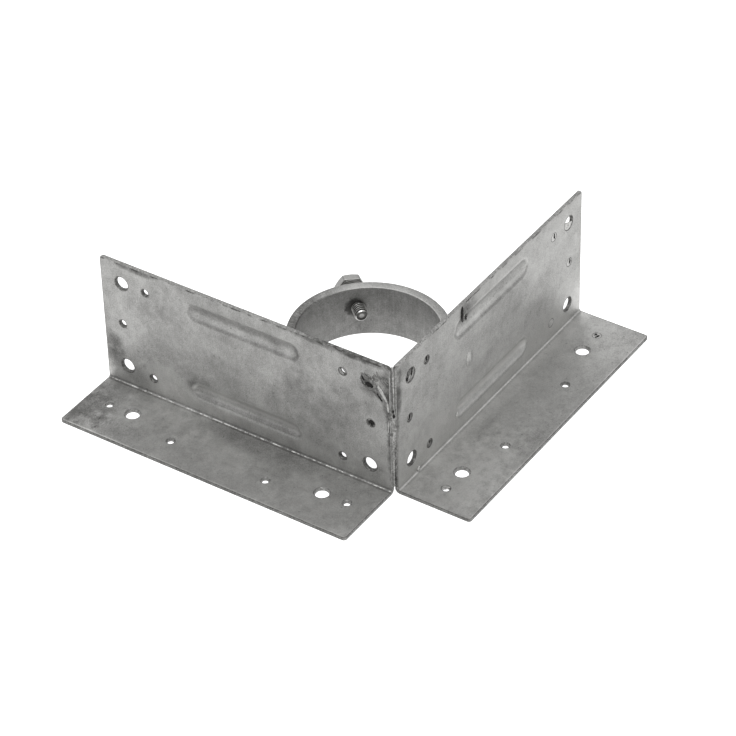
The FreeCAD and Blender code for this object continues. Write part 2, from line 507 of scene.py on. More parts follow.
def painted_bead_shading(along, up, row, rim_reach, shades):
    """Painted shade and highlights over one pressed bead, as changes of tone on its upper rim, middle,
    lower slope and lower rim.

    The middle's comes with the height of its own centre. rim_reach is how far past its edge the rim lies, in
    millimetres.
    """
    upper_rim, (centre, middle), lower_slope, lower_rim = shades
    half = bead_width / 2 / mm
    slope_lift = -3.0
    beyond = (abs(along - plate_middle / mm) - (bead_length / 2 / mm - half)).math("MAXIMUM", 0)
    lift = up - row / mm
    away = (beyond * beyond + lift * lift).math("SQRT")
    inside = away.smooth(half + 0.2, half - 0.9)
    rim = away.near(half + rim_reach, 1.3, 0.3)
    slopes = lift.near(centre, 2.6, 0.6) * middle + lift.near(slope_lift, 1.6, 0.3) * lower_slope
    return inside * slopes + rim * (lift.smooth(-0.5, 1.5) * upper_rim + lift.smooth(0.5, -1.5) * lower_rim)


# Painted shade on both sides of the leg's fold and a painted highlight along it, mottled by wear.
fold_place = (bend_out - bend_radius * 0.55) / mm, (bend_up - bend_radius * 0.83) / mm
painted_fold_shade, painted_fold_highlight = 0.26, 0.06
tip_soot_shade = 0.70


def plate_finish(name, side, look):
    """Dipped zinc on one plate, with its marks, painted bead shading, painted shade and a painted highlight with
    wear at the fold, and wide stains from the look.

    Its places are in millimetres, along the plate and up the leg or out over the flange. The foot is painted
    light that lifts the shade low on the leg, as (top, low, change), the sheen a painted reflection's soft edge
    that slopes over the leg, as (start, height there, slope, change), and the root and the arris are the changes
    of tone at the flange's fold and at its outer edges: painted light beside the fold and a painted highlight
    along the edges.
    """
    material, shader, place, tone, height = start_finish(name)
    x, y, up = place.parts()
    along, out = (x, 0 - y) if side == "right" else (y, 0 - x)
    ragged = place.cloud(4.5, 6.0) * 3.4
    on_leg = (up - flange_top / mm).smooth(0.2, 2.0)
    rail_side = (out - (rail_face - sheet / 2) / mm).smooth(-0.9, -0.7)
    rows = [plate_high.z - row for row in bead_rows]
    # Painted shade and highlights that follow the beads' relief.
    beads = sum(
        painted_bead_shading(along, up, row, look["bead rim"], shades) for row, shades in zip(rows, look["bead shades"])
    )
    # The foot's change is painted light that lifts the shade low on the leg.
    foot_top, foot_low, foot_light = look["foot"]
    # The sheen is a painted reflection's soft edge across the leg.
    start, height_there, slope, change = look["sheen"]
    painted_reflection_edge = (up - height_there + (along - start) * slope).smooth(-1.5, 1.5) - 0.5
    leg = marks_tone(along, up, ragged, look["leg marks"]) + up.smooth(foot_top, foot_low) * foot_light
    leg = leg + painted_reflection_edge * along.smooth(start - 10, start + 10) * change
    # The arris is a painted highlight along the flange's outer edge and near end; the root is painted light beside
    # the fold.
    arris = out.smooth(73.0, 73.9) + along.smooth(-35.0, -35.7) * 0.8
    flange = marks_tone(along, out, ragged, look["flange marks"])
    flange = flange + out.smooth(47, 38.5) * look["root"] + arris * look["arris"]
    tone = tone + place.cloud(15.0, 6.0) * look["stain"] + look["tone"]
    tone = tone + (leg * rail_side + beads) * on_leg + flange * (1 - on_leg)
    # Painted shade beside the fold, and a painted highlight with wear along its middle.
    across_fold = abs(out - fold_place[0]) + abs(up - fold_place[1])
    bright, least = look["fold wear"]
    lit_and_worn = place.cloud(2.4, 5.0).smooth(-0.06, 0.14) * bright + (least + painted_fold_highlight)
    tone = tone - across_fold.smooth(2.0, 0.8) * painted_fold_shade + across_fold.smooth(0.42, 0.22) * lit_and_worn
    tip = up - plate_high.z / mm
    tip_soot = tip.smooth(-1.6, -0.6) * tip.smooth(-0.02, -0.25) * place.cloud(4.4, 6.0).smooth(-0.04, 0.18)
    tone = (tone - tip_soot * tip_soot_shade).smooth(*tone_range)
    roughness = 0.56 - place.cloud(9.0) * 0.22 + (0.5 - tone) * 0.25
    end_finish(shader, tone, roughness, height)
    return material


left_look = {
    "tone": 0.45,
    "stain": 0.45,
    "leg marks": {
        "soot under the far tip": (97, 31.2, 11, 1.8, -0.35),
        "stain by the far low hole": (112, -20, 5, 11, -0.28),
        "stain under the far low hole": (98, -28, 10, 4, -0.26),
        "soot above the ring": (-4, 31.2, 20, 1.6, -0.28),
        "soot at the near tip": (-25, 30.9, 11, 1.4, -0.32),
        "burn beside the seam": (-37.0, 12, 4.0, 22, -0.48),
        "burn down the seam": (-36.6, -10, 2.2, 26, -0.45),
        "burn by the near hole": (-28, 18, 7.0, 5.0, -0.34),
        "burn between the hole and the seam": (-33.5, 21, 3.6, 8, -0.26),
        "pale far foot": (84, -23, 18, 9, 0.30),
        "shade by the ring": (4, -4, 22, 16, -0.14),
        "shade in the far field": (84, 8, 14, 13, -0.08),
        "shade at the near foot": (-22, -31, 16, 6, -0.18),
        "shade at the low bead's end": (66, -19.5, 9, 6, -0.22),
        "shade in the low bead's end": (68.9, -21.4, 3.4, 2.8, -0.26),
        "shade at the high bead's near end": (12.6, 17.8, 3.0, 3.6, -0.14),
    },
    "flange marks": {
        "brown far end": (112, 60, 13, 16, -0.42),
        "shade at the far outer edge": (90, 68, 14, 6, -0.14),
        "stain at the middle root": (40, 44.0, 19, 6.0, -0.18),
        "stain at the near root": (10, 44, 13, 5, -0.14),
        "pale far field": (80, 46, 24, 12, 0.30),
        "pale middle": (42, 56, 18, 9, 0.32),
        "pale near field": (-20, 60, 30, 20, 0.14),
        "pale outer field": (50, 60, 70, 20, 0.08),
        "pale near corner": (-31, 71, 5, 3, 0.18),
    },
    "bead rim": -0.3,
    "bead shades": ((0.0, (1.0, -0.13), 0.03, -0.14), (0.26, (2.0, 0.28), -0.22, -0.12)),
    # The foot and the root are painted light, the sheen a painted reflection's edge and the arris a painted
    # highlight.
    "foot": (-23, -30, 0.18),
    "sheen": (60, -8, 0.2, 0.05),
    "root": 0.0,
    "arris": 0.34,
    "fold wear": (0.80, 0.00),
}
right_look = {
    "tone": 0.47,
    "stain": 0.12,
    "leg marks": {
        "pale far field": (95, 12, 36, 20, 0.02),
        "shade in the middle": (54, 8, 22, 9, -0.09),
        "burn by the bead": (20, 26, 6, 6, -0.34),
        "burn beside the seam": (-37.0, 15, 4.8, 17, -0.52),
        "burn down the seam": (-36.6, -8, 1.8, 24, -0.25),
        "soot at the near tip": (-29, 27, 6, 5, -0.16),
        "pale low field": (4, -12, 36, 14, 0.13),
        "shade beside the drop": (23.6, -0.4, 0.9, 3.6, -0.14),
    },
    "flange marks": {
        "pale near field": (-14, 57, 34, 16, 0.42),
        "pale far field": (64, 54, 60, 18, 0.17),
        "pale near corner": (-33, 71, 5, 3, 0.18),
    },
    "bead rim": 0.5,
    "bead shades": ((0.14, (-0.4, -0.03), 0.14, -0.18), (0.10, (0.4, 0.36), -0.16, -0.16)),
    # The foot and the root are painted light, the sheen a painted reflection's edge and the arris a painted
    # highlight.
    "foot": (-8, -32, 0.30),
    "sheen": (64, 2, 0.5, 0.05),
    "root": 0.36,
    "arris": 0.24,
    "fold wear": (0.24, 0.06),
}

flat_blank = triangulated_blank()
left_lumps = {
    "run beside the seam": (-33.0, 14.0, 1.1, 6.0, 0.30),
    "burnt ground by the near hole": (-30.0, 24.0, 4.0, 3.5, 0.18),
}
right_lumps = {
    "slit beside the bead": (16.3, 26.4, 0.9, 3.4, -0.75),
    "burr beside the slit": (18.6, 25.2, 1.2, 3.0, 0.35),
    "drop on the leg": (21.0, -0.4, 2.6, 4.8, 0.30),
}
# The punched walls' low level is painted shade in the legs' holes; on the flange, sheared faces get painted shade
# and the holes' walls painted light.
sheared_edge = cut_finish("sheared_edge", 0.37, 0.9, -0.16)
punched_edge = cut_finish("punched_edge", 0.10, 1.0, 0.22)
for side, node, look, lumps, to_row in (
    ("left", "left_angle_plate", left_look, left_lumps, to_left),
    ("right", "right_angle_plate", right_look, right_lumps, to_right),
):
    plate = plate_mesh(node + "_dipped", flat_blank, lumps, to_row)
    for finish in (plate_finish(side + "_plate_zinc", side, look), sheared_edge, punched_edge):
        plate.data.materials.append(finish)
    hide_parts(node)
    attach(plate, "bracket")


# Post ring
# A short length sawn off thick drawn tube, with its rims broken by hand and a hole tapped through the far
# wall. Saw lines cross the rims, and drawing lines run up the bore, which painted shade darkens; soot and
# painted shade darken it most round the bolt's base. A painted highlight runs along the rims' inner edge,
# and the rims and outer wall are darker towards the far left.
ring_wall = 4.5 * mm
ring_break = 0.4 * mm
soft_break = ring_break * 0.3
ring_sides = 256
ring_crease = math.radians(35)
tapped_radius = 3.225 * mm
tapped_sides = 64
# The bore's tone is painted shade.
ring_tone, painted_bore_shade, rim_tone = 0.44, -0.08, 0.05
rim_left = Vector((-0.568, 0.823))
far_left_shade, far_right_shade = 0.40, 0.16
# Where the soot and painted shade round the bolt's base lie, how far they reach and how dark they are.
shade_aside, shade_above, shade_reach, soot_shade = 1.8, 1.0, 5.4, 0.55

ring_low, ring_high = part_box("post_ring")
ring_outer = ring_high.x
ring_bore = ring_outer - ring_wall
bolt_in = Vector(frame["joints"][0]["axis"]).normalized()
bolt_low, bolt_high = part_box("set_bolt")
bolt_lift = (bolt_low.z + bolt_high.z) / 2
bolt_out = -bolt_in
bolt_turn = bolt_out.to_track_quat("X", "Z")
bolt_corners = [bolt_turn.inverted() @ corner.co for corner in frame["nodes"]["set_bolt"].data.vertices]
bolt_tip = min(corner.x for corner in bolt_corners)
bolt_top = max(corner.x for corner in bolt_corners)
bolt_aside = (min(corner.y for corner in bolt_corners) + max(corner.y for corner in bolt_corners)) / 2
bolt_foot = bolt_turn @ Vector((0, bolt_aside, bolt_lift))

ring_section = []
for radius, height, inwards, rise in (
    (ring_outer, ring_low.z, -1, 1),
    (ring_outer, ring_high.z, -1, -1),
    (ring_bore, ring_high.z, 1, -1),
    (ring_bore, ring_low.z, 1, 1),
):
    across = (radius + inwards * ring_break, height)
    broken = (radius + inwards * soft_break, height + rise * soft_break * 0.9)
    upright = (radius, height + rise * ring_break)
    ring_section += (across, broken, upright) if inwards != rise else (upright, broken, across)

corners = [(radius * c, radius * s, height) for c, s in circle(ring_sides) for radius, height in ring_section]
tube = solid_object("post_ring_sawn", corners, strips(ring_sides, len(ring_section), closed=True))

corners = []
for reach in (ring_bore - ring_wall, ring_outer + ring_wall):
    for c, s in circle(tapped_sides):
        corners.append(bolt_turn @ Vector((reach, tapped_radius * c, tapped_radius * s)) + bolt_foot)
tap = solid_object("tap", corners, capped_tube(2, tapped_sides))

cut = tube.modifiers.new("tapped hole", "BOOLEAN")
cut.object, cut.operation, cut.solver = tap, "DIFFERENCE", "EXACT"
bpy.context.view_layer.update()
drilled = bpy.data.meshes.new_from_object(tube.evaluated_get(bpy.context.evaluated_depsgraph_get()))
tube.modifiers.clear()
tube.data = drilled
drilled.polygons.foreach_set("use_smooth", [True] * len(drilled.polygons))
drilled.set_sharp_from_angle(angle=ring_crease)
bpy.data.objects.remove(tap)

material, shader, place, tone, height = start_finish("ring_zinc")
x, y, up = place.parts()
from_axis = place.scaled(1, 1, 0).length()
in_bore = (from_axis - ring_bore / mm).smooth(0.35, 0.05)
on_rim = (abs(up) - ring_high.z / mm).smooth(-0.45, -0.15)
along_bolt = x * bolt_out.x + y * bolt_out.y
# Soot and painted shade on the bore round the bolt's base, off to one side and above it.
shade_side = y * bolt_out.x - x * bolt_out.y - (bolt_aside / mm + shade_aside)
shade_lift = up - (bolt_lift / mm + shade_above)
shade_distance = shade_side * shade_side + shade_lift * shade_lift + place.cloud(2.5, 4.0) * 30
soot = shade_distance.smooth(shade_reach ** 2, 7.0) * along_bolt.smooth(0, 5)
drawing = place.scaled(1.0, 1.0, 0.03).cloud(0.9, 2.0)
sawing = place.scaled(2.2, 0.4, 1.0).cloud(2.0, 3.0) + place.cloud(1.2, 3.0)
leftward = y * rim_left.y + x * rim_left.x
far_left = leftward.smooth(4, 31)
far_right = leftward.smooth(-12, -33)
# A painted highlight along the rims' inner edge, which turns to a dark line towards the far left.
inner_lip_highlight = from_axis.near(ring_bore / mm + 0.35, 0.5, 0.1) * on_rim
# The bore is darkened as painted shade.
tone = tone + ring_tone + in_bore * painted_bore_shade + drawing * in_bore * 0.16
tone = tone - (1 - in_bore) * far_left * far_left_shade + on_rim * (rim_tone - far_right * far_right_shade)
tone = tone + inner_lip_highlight * (0.16 - far_left * 0.45) + sawing * on_rim * (0.12 + far_left * 0.40)
tone = (tone - soot * in_bore * soot_shade).smooth(*tone_range)
roughness = 0.54 - place.cloud(6.0) * 0.2 + in_bore * 0.08
height = height + drawing * in_bore * 0.3 + sawing * on_rim * 0.6
end_finish(shader, tone, roughness, height)
drilled.materials.clear()
drilled.materials.append(material)
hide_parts("post_ring")
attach(tube, "bracket")


# Welds
# One hand-run bead fills the corner's inside angle and breaks through the root gap into the notch outside.
# Two upright beads on each plate hold the ring. All of them ripple, and soot lies in their hollows.
ripple_pitch = 1.7 * mm
ripple_depth = 0.16 * mm
weld_station = 0.2 * mm
weld_taper = 1.6 * mm
inside = -(rail_face - sheet)
corner_leg = 4.5 * mm
corner_bulge = 0.5 * mm
corner_wander = 0.5 * mm
wander_length = 4 * mm
root_points = 10
ring_weld_start = 4.5 * mm
ring_weld_reach = 12.8 * mm
ring_weld_toe = 1.5 * mm
ring_weld_bulge = 0.5 * mm
ring_weld_wander = 0.4 * mm
sink = 0.12 * mm
notch_top = 11.0 * mm
notch_low = -22.0 * mm
notch_fade = 6.0 * mm
notch_sunk = 1.00 * mm
notch_flush = 1.50 * mm
notch_back = 0.2 * mm
notch_sides = 24
weld_crease = math.radians(50)


def unevenness(z, seed, size):
    """A slow wander between about -1 and 1 along a hand-run bead."""
    return 2 * noise.noise(Vector((seed, seed * 0.37, z / size)))


def ripple(z, seed):
    """The bead's swelling at z: a saw-like ripple whose pitch and depth wander."""
    phase = z / ripple_pitch + 0.35 * unevenness(z, seed, 5 * mm)
    crest = 1 - abs(2 * (phase % 1) - 1) ** 2
    return ripple_depth * crest + 0.2 * mm * unevenness(z, seed + 7, 3 * mm)


def swept_bead(name, low, high, section):
    """A closed mesh through sections of equal length, from section(z, fullness), with rounded ends."""
    count = max(8, round((high - low) / weld_station))
    corners = []
    for k in range(count + 1):
        z = low + (high - low) * k / count
        end = min(z - low, high - z) / weld_taper
        ring = section(z, math.sqrt(max(0.02, 1 - max(0, 1 - end) ** 2)))
        corners += [(px, py, z) for px, py in ring]
    return solid_object(name, corners, capped_tube(count + 1, len(ring)), weld_crease)


def corner_section(z, fullness):
    """The fillet between the two legs' inner faces, with its feet sunk a little into them."""
    swell = ripple(z, seed=3)
    leg = (corner_leg + corner_wander * unevenness(z, 11, wander_length)) * fullness
    root = inside - sink
    points = [(root, root + leg), (root, root), (root + leg, root)]
    bow = (corner_bulge + swell) * fullness
    for k in range(1, root_points):
        share = k / root_points
        bulge = bow * math.sin(math.pi * share) / math.sqrt(2)
        points.append((root + leg * (1 - share) + bulge, root + leg * share + bulge))
    return points


def notch_section(z, fullness):
    """The metal in the notch outside: sunk at its top and foot, and nearly flush where it broke through."""
    below_top = min(1, max(0, (notch_top - z) / notch_fade))
    above_foot = min(1, max(0, 1 + (z - notch_low) / notch_fade))
    wander = unevenness(z, 23, 2.5 * mm) * 0.35 + unevenness(z, 5, 0.9 * mm) * 0.18
    share = below_top * above_foot * (1 + wander)
    radius = (notch_sunk + (notch_flush - notch_sunk) * share) * fullness
    centre = inside + notch_back
    return [(centre + radius * c, centre + radius * s) for c, s in circle(notch_sides)]


def ring_weld_section(side, seed):
    """One bead in the wedge between the ring and the right plate, on this side of where they touch."""
    def section(z, fullness):
        width = ring_weld_reach - ring_weld_start + ring_weld_wander * unevenness(z, seed, wander_length)
        reach = ring_weld_start + width * fullness
        face = inside - sink
        on_ring = ring_outer - sink
        shares = [k / root_points for k in range(root_points + 1)]
        toe = Vector((reach + ring_weld_toe * fullness, face))
        tip = Vector((reach, -math.sqrt(on_ring ** 2 - reach ** 2)))
        points = [(side * ring_weld_start, face)]
        for share in shares:
            spot = toe.lerp(tip, share)
            bow = (ring_weld_bulge + ripple(z, seed)) * fullness * math.sin(math.pi * share)
            points.append((side * (spot.x + bow), spot.y + bow * 0.3))
        for share in shares[1:]:
            px = reach + (ring_weld_start - reach) * share
            points.append((side * px, -math.sqrt(on_ring ** 2 - px ** 2)))
        return points

    return section


def weld_finish(name, level):
    """Rippled weld metal under zinc, with pits. level sets how burnt it is."""
    material, shader, place, tone, height = start_finish(name)
    pits = place.cloud(1.3, 5.0)
    tone = (tone * 1.2 + level + pits * 0.9).smooth(*tone_range)
    end_finish(shader, tone, 0.55 - pits * 0.3, height + pits * 0.8, relief_depth * 1.5)
    return material


weld_material = weld_finish("weld_zinc", 0.34)
burnt_material = weld_finish("burnt_zinc", 0.08)
bright_material = weld_finish("bright_zinc", 0.54)
drop_material = weld_finish("drop_zinc", 0.68)

# Near-black soot, which also stands as painted shade in holes, in the slit and in the seam's notch.
soot_and_shade_colours = (0.004, 0.004, 0.004, 1), (0.050, 0.048, 0.045, 1)
soot_and_shade_material, shader, place, tone, height = start_finish("soot")
shader.inputs["Specular IOR Level"].default_value = 0.15
end_finish(shader, tone + 0.2, 0.9, height, colours=soot_and_shade_colours, metallic=0.0)

weld_low, weld_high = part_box("corner_weld")
inside_bead = swept_bead("corner_weld_inside", weld_low.z, weld_high.z, corner_section)
notch_bead = swept_bead("corner_weld_in_notch", weld_low.z, plate_high.z - 0.5 * mm, notch_section)
for bead in (inside_bead, notch_bead):
    bead.data.materials.append(weld_material)
    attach(bead, "bracket")
    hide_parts("corner_weld")

bead_low, bead_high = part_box("ring_weld_right")
swap = Matrix(((0, 1, 0, 0), (1, 0, 0, 0), (0, 0, 1, 0), (0, 0, 0, 1)))
for plate_side, node, seed in (("right", "ring_weld_right", 31), ("left", "ring_weld_left", 47)):
    for side, word in ((-1, "near"), (1, "far")):
        section = ring_weld_section(side, seed + side)
        bead = swept_bead(f"ring_weld_{plate_side}_{word}", bead_low.z, bead_high.z, section)
        if plate_side == "left":
            bead.data.transform(swap)
            bead.data.flip_normals()
        bead.data.materials.append(weld_material)
        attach(bead, "bracket")
        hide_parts(node)


# Zinc, spatter, soot and painted shade in the holes
# Zinc skinned over some of the nail holes when the plates were dipped and half closed three of the lag holes,
# and spatter from the welds lies beside them. Each is a lumpy lens of metal, in its hole or on the leg.
# Near-black lenses stand as painted shade in holes, in the slit beside the bead and in the seam's notch, with
# a few soot streaks on the leg.
lens_sides = 40
lens_rings = 7
large_radius = mounts["right_leg_screws"]["dims"]["hole_r_mm"]
small_radius = mounts["right_leg_top_nails"]["dims"]["hole_r_mm"]
grip = 0.08


def at_leg(to_row):
    """Puts (along, up, height above the rail face), in millimetres, on one plate's leg."""
    return lambda along, up, height: to_row(along * mm, rail_face + height * mm, up * mm)


def at_flange(to_row):
    """The same on the flange, for (along, out, height above its top)."""
    return lambda along, out, height: to_row(along * mm, out * mm, flange_top + height * mm)


def at_seam(across, up, out):
    """The same in the seam's open notch, for (across to the right, up, out of the notch)."""
    middle = sheet / 2 - rail_face
    level = middle - out * mm / math.sqrt(2)
    return level + across * mm / math.sqrt(2), level - across * mm / math.sqrt(2), up * mm


def lens(place, centre, size, tilt, level, rise, seed, ragged=0.0, keep=None):
    """A lumpy lens of metal: its half sizes, tilt in degrees, level of its rim and (front, back) rises.

    ragged is how much its outline wanders, as a share of its size. keep is (direction in degrees, share of
    the radius), and cuts the lens off beyond that share that way.
    """
    corners = []
    turn = math.radians(tilt)
    rays = [Vector(ray) for ray in circle(lens_sides)]
    start = Vector((0, 0))
    if keep:
        away = Vector((math.cos(math.radians(keep[0])), math.sin(math.radians(keep[0]))))
        start = away * (keep[1] - 1) / 2
    for ring in range(2 * lens_rings):
        sweep = (ring + 0.5) * math.pi / 2 / lens_rings
        for ray in rays:
            reach = -start.dot(ray) + math.sqrt(start.dot(ray) ** 2 - start.length_squared + 1)
            if keep and ray.dot(away) > 0.01:
                ragged_edge = keep[1] + 0.10 * noise.noise(ray.to_3d() * 2 + Vector((seed, 0, 0)))
                reach = min(reach, (ragged_edge - start.dot(away)) / ray.dot(away))
            wander = noise.noise(ray.to_3d() * 2.5 + Vector((0, seed, 0)))
            wander += noise.noise(ray.to_3d() * 6) * 0.5
            spot = start + ray * reach * math.sin(sweep) * (1 + ragged * 2 * wander)
            spot = Vector((spot.x * size[0], spot.y * size[1]))
            lump = 1 + 0.5 * noise.noise(Vector((spot.x * 0.9, spot.y * 0.9, seed)))
            swell = math.copysign(abs(math.cos(sweep)) ** 0.7, math.cos(sweep))
            height = level + swell * (rise[0] if swell > 0 else rise[1]) * lump
            along = centre[0] + spot.x * math.cos(turn) - spot.y * math.sin(turn)
            across = centre[1] + spot.x * math.sin(turn) + spot.y * math.cos(turn)
            corners.append(place(along, across, height))
    return corners, capped_tube(2 * lens_rings, lens_sides)


def joined(name, finish, lenses):
    """One object from several lenses, each given by its values, riding with the bracket."""
    corners, faces = [], []
    for values in lenses:
        part_corners, part_faces = lens(*values)
        faces += [tuple(len(corners) + k for k in face) for face in part_faces]
        corners += part_corners
    made = solid_object(name, corners, faces)
    made.data.materials.append(finish)
    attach(made, "bracket")


left_leg, right_leg, right_flange = at_leg(to_left), at_leg(to_right), at_flange(to_right)
small = (small_radius + grip,) * 2
large = (large_radius + grip,) * 2
skin = (small_radius + 0.22,) * 2
shallow, deep, skinned = (0.40, 0.45), (0.25, 0.35), (0.14, 0.5)
spatter, run, streak, thin_streak, in_seam = (0.45, 0.4), (0.25, 0.3), (0.16, 0.2), (0.14, 0.2), (0.25, 0.6)
near_screw, far_screw = (-24.75, 20.7), (105.25, 20.7)
near_nail, far_nail = (-11.95, 20.7), (92.45, 20.7)
near_middle, far_middle = (-25.75, -1.55), (106.25, -1.55)
near_low, far_low = (-10.55, -26.2), (91.05, -26.2)
near_flange, far_flange = (-23.55, 54.35), (104.05, 54.35)
joined("zinc_in_left_holes", weld_material, [
    (left_leg, near_nail, small, 0, -0.40, shallow, 1, 0, (135, -0.28)),
    (left_leg, near_nail, small, 0, -0.40, shallow, 51, 0, (-45, -0.28)),
    (left_leg, near_middle, small, 0, -0.85, deep, 2),
    (left_leg, near_screw, large, 0, -0.60, shallow, 3, 0, (155, 0.60)),
])
joined("zinc_in_right_holes", weld_material, [
    (right_leg, near_nail, small, 0, -0.70, deep, 4),
    (right_leg, near_middle, small, 0, -0.60, deep, 5),
    (right_leg, near_low, small, 0, -0.60, shallow, 6),
    (right_leg, near_screw, large, 0, -0.60, shallow, 10),
])
joined("zinc_skins_on_right_leg", drop_material, [
    (right_leg, far_nail, skin, 0, -0.14, skinned, 7),
    (right_leg, far_middle, skin, 0, -0.16, skinned, 8),
    (right_leg, far_low, skin, 0, -0.08, skinned, 9),
    (right_leg, far_screw, large, 0, -0.40, shallow, 11, 0, (70, 0.10)),
    (right_flange, near_flange, skin, 0, -0.14, skinned, 27, 0, (120, 0.10)),
    (right_flange, far_flange, skin, 0, -0.14, skinned, 28),
])
joined("weld_spatter_on_left_leg", burnt_material, [
    (left_leg, (-27.0, 18.6), (6.4, 2.6), 38, -0.15, (0.50, 0.4), 13, 0.35),
    (left_leg, (-23.4, 22.4), (3.0, 1.7), 30, -0.20, spatter, 14, 0.4),
    (left_leg, (-30.2, 15.4), (2.8, 1.6), 50, -0.15, spatter, 15, 0.4),
    (left_leg, (-30.5, 24.5), (4.2, 2.4), 10, -0.16, (0.42, 0.4), 23, 0.45),
    (left_leg, (-35.3, 5.2), (0.9, 2.6), 0, -0.10, run, 25, 0.35),
    (left_leg, (-35.6, -3.6), (1.3, 0.9), 20, -0.10, run, 26, 0.35),
])
joined("weld_runs_on_left_leg", bright_material, [
    (left_leg, (-32.2, 17.2), (4.6, 0.80), 59, 0.14, (0.40, 0.3), 16, 0.18),
    (left_leg, (-34.7, 10.8), (2.8, 0.50), 84, 0.02, (0.36, 0.3), 17, 0.15),
    (left_leg, (-34.9, 1.0), (5.0, 0.32), 92, -0.12, run, 18, 0.15),
])
joined("weld_spatter_on_right_leg", burnt_material, [
    (right_leg, (-25.6, 22.6), (1.9, 1.0), 70, -0.2, (0.40, 0.3), 19, 0.3),
    (right_leg, (19.2, 26.2), (2.6, 4.0), 0, -0.20, (0.32, 0.3), 24, 0.4),
])
joined("zinc_drops_on_right_leg", drop_material, [
    (right_leg, (11.6, -25.9), (0.8, 1.7), 0, 0.0, (0.40, 0.3), 20, 0.2),
    (right_leg, (21.0, -0.4), (1.9, 3.6), -8, 0.26, (0.36, 0.7), 21, 0.10),
    (right_leg, (-19.9, -34.0), (1.1, 1.2), 0, 0.1, (0.80, 0.4), 22, 0.2),
])
# Near-black lenses of painted shade in the holes, the slit and the seam's notch, and of soot in a few streaks on
# the leg.
joined("soot_in_gaps", soot_and_shade_material, [
    (left_leg, (-25.9, 19.5), (2.0, 1.0), 10, 0.62, (0.25, 0.5), 31, 0.3),
    (left_leg, (-22.4, 21.6), (1.2, 0.45), 60, 0.28, streak, 32, 0.3),
    (left_leg, (-30.9, 14.6), (1.9, 0.45), 55, 0.36, streak, 33, 0.3),
    (right_leg, (16.3, 26.3), (0.88, 3.5), -2, 0.0, thin_streak, 34, 0.2),
    (right_leg, (18.9, 24.0), (0.55, 1.8), 8, 0.20, streak, 43, 0.5),
    (right_leg, (-11.6, 21.0), (0.75, 1.4), 0, -0.42, thin_streak, 44, 0.3),
    (right_leg, (104.6, 19.4), (0.9, 0.8), 0, -0.20, thin_streak, 45, 0.4),
    (right_leg, (105.6, 17.8), (0.5, 0.9), 0, -0.18, thin_streak, 49, 0.4),
    (right_flange, (103.8, 54.9), (1.2, 0.50), 20, -0.02, streak, 50, 0.4),
    (right_flange, (104.5, 53.6), (0.8, 0.6), 0, -0.02, streak, 52, 0.4),
    (right_leg, (106.8, -1.3), (0.60, 1.2), 0, -0.02, streak, 46, 0.3),
    (right_leg, (92.8, 21.0), (0.55, 1.2), 0, 0.0, streak, 47, 0.3),
    (right_leg, (-23.4, 21.8), (0.55, 2.2), -12, -0.14, thin_streak, 35, 0.2),
    (right_leg, (-27.0, 19.8), (0.85, 1.0), 0, -0.10, thin_streak, 36, 0.3),
    (right_leg, (-25.5, -1.3), (0.65, 1.6), -15, -0.32, (0.12, 0.2), 37, 0.2),
    (right_leg, (-10.5, -26.1), (0.90, 1.5), -10, -0.32, (0.12, 0.2), 38, 0.3),
    (left_leg, (-25.9, -1.5), (1.5, 1.3), 0, -0.50, (0.20, 0.2), 39, 0.08),
    (at_seam, (-0.2, 8.9), (0.40, 1.0), 0, 0.25, in_seam, 40, 0.3),
    (at_seam, (0.1, 6.4), (0.50, 1.0), 0, 0.35, in_seam, 41, 0.3),
    (at_seam, (-0.35, 20.5), (0.16, 10.5), 0, -0.40, (0.22, 0.6), 42, 0.1),
    (at_seam, (0.35, -22.0), (0.12, 11.5), 0, 0.05, in_seam, 48, 0.1),
])


# Set bolt
# A quarter inch hex bolt, plated bright, threaded to near its head and with a short point, screwed in through
# the ring's far wall until its end stands in the bore. Dirt and painted shade darken the thread's roots, a
# painted highlight lies on the point's upper side, and the end face is darker.
bolt_radius = 3.175 * mm
thread_pitch = 1.27 * mm
thread_depth = 0.72 * mm
thread_crest = 0.07
thread_root = 0.22
point_length = 0.9 * mm
thread_fade = 1.6 * mm
thread_sides = 72
rows_per_pitch = 12
end_rounds = ((0.99, -0.02 * mm), (0.80, 0.03 * mm), (0.4, 0.15 * mm))
head_flats = 12.7 * mm
head_height = 4.5 * mm
head_turn = math.radians(6)
washer_face = 0.4 * mm
washer_radius = 0.95 * head_flats / 2
head_slope = math.tan(math.radians(30))
arris = 0.16 * mm
head_sides = 96
bolt_crease = math.radians(32)
bolt_tone, head_shade, root_shade, point_light, end_shade = 0.80, 0.34, 1.40, 0.35, 1.25

shank_length = bolt_top - bolt_tip - head_height
bolt_frame = Matrix.Translation(bolt_out * bolt_tip + bolt_foot) @ bolt_turn.to_matrix().to_4x4()

corners, faces = [], []
thread_turns = circle(thread_sides)
rows = round(shank_length / thread_pitch * rows_per_pitch) + 2 * rows_per_pitch
for row in range(rows + rows_per_pitch):
    from_crest = abs((row / rows_per_pitch + 0.5) % 1 - 0.5)
    cut_share = min(1, max(0, (from_crest - thread_crest) / (0.5 - thread_root - thread_crest)))
    for side, (c, s) in enumerate(thread_turns):
        along = ((row - rows_per_pitch) / rows_per_pitch + side / thread_sides) * thread_pitch
        along = min(max(along, 0), shank_length)
        fade = min(1, (shank_length - along) / thread_fade)
        radius = min(bolt_radius - thread_depth * cut_share * fade, bolt_radius - point_length + along)
        corners.append((along, radius * c, radius * s))
for row in range(rows):
    for side in range(thread_sides):
        here = row * thread_sides + side
        beside = here + 1 if side + 1 < thread_sides else (row + rows_per_pitch) * thread_sides
        faces.append((here, beside, beside + thread_sides, here + thread_sides))
tip_start = len(corners)
for share, along in end_rounds:
    radius = (bolt_radius - point_length) * share
    corners += [(along, radius * c, radius * s) for c, s in thread_turns]
